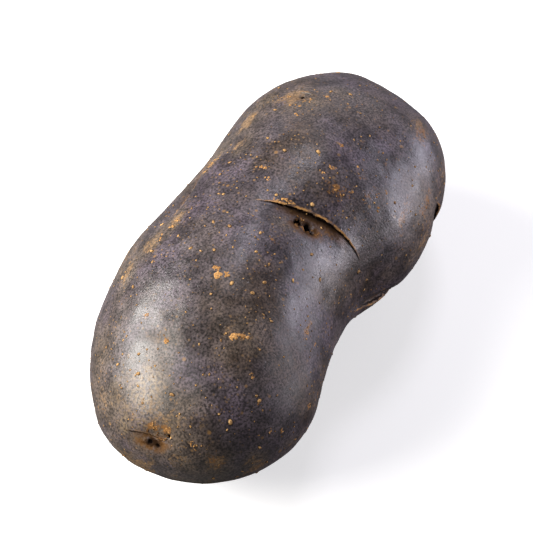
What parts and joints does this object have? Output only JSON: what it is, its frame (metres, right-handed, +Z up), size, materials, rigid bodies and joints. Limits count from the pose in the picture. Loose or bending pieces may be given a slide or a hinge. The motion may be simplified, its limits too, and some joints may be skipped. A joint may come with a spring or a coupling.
{
  "type": "purple potato",
  "caption": "Whole dark purple potato, long and two-lobed with a narrow waist, its eyes in hollows under curved brows, lying on a small flat spot.",
  "frame": {"origin": "centre of the tuber's outline seen from above, on the surface that it lies on", "axes": "+X along the tuber from its rose end to its stem end; +Y towards the side that is only slightly hollow, away from the deep waist; +Z up"},
  "size_m": [0.118, 0.0584, 0.0477],
  "materials": {
    "skin": null
  },
  "bodies": {
    "root": {"potato": "skin"}
  },
  "joints": []
}
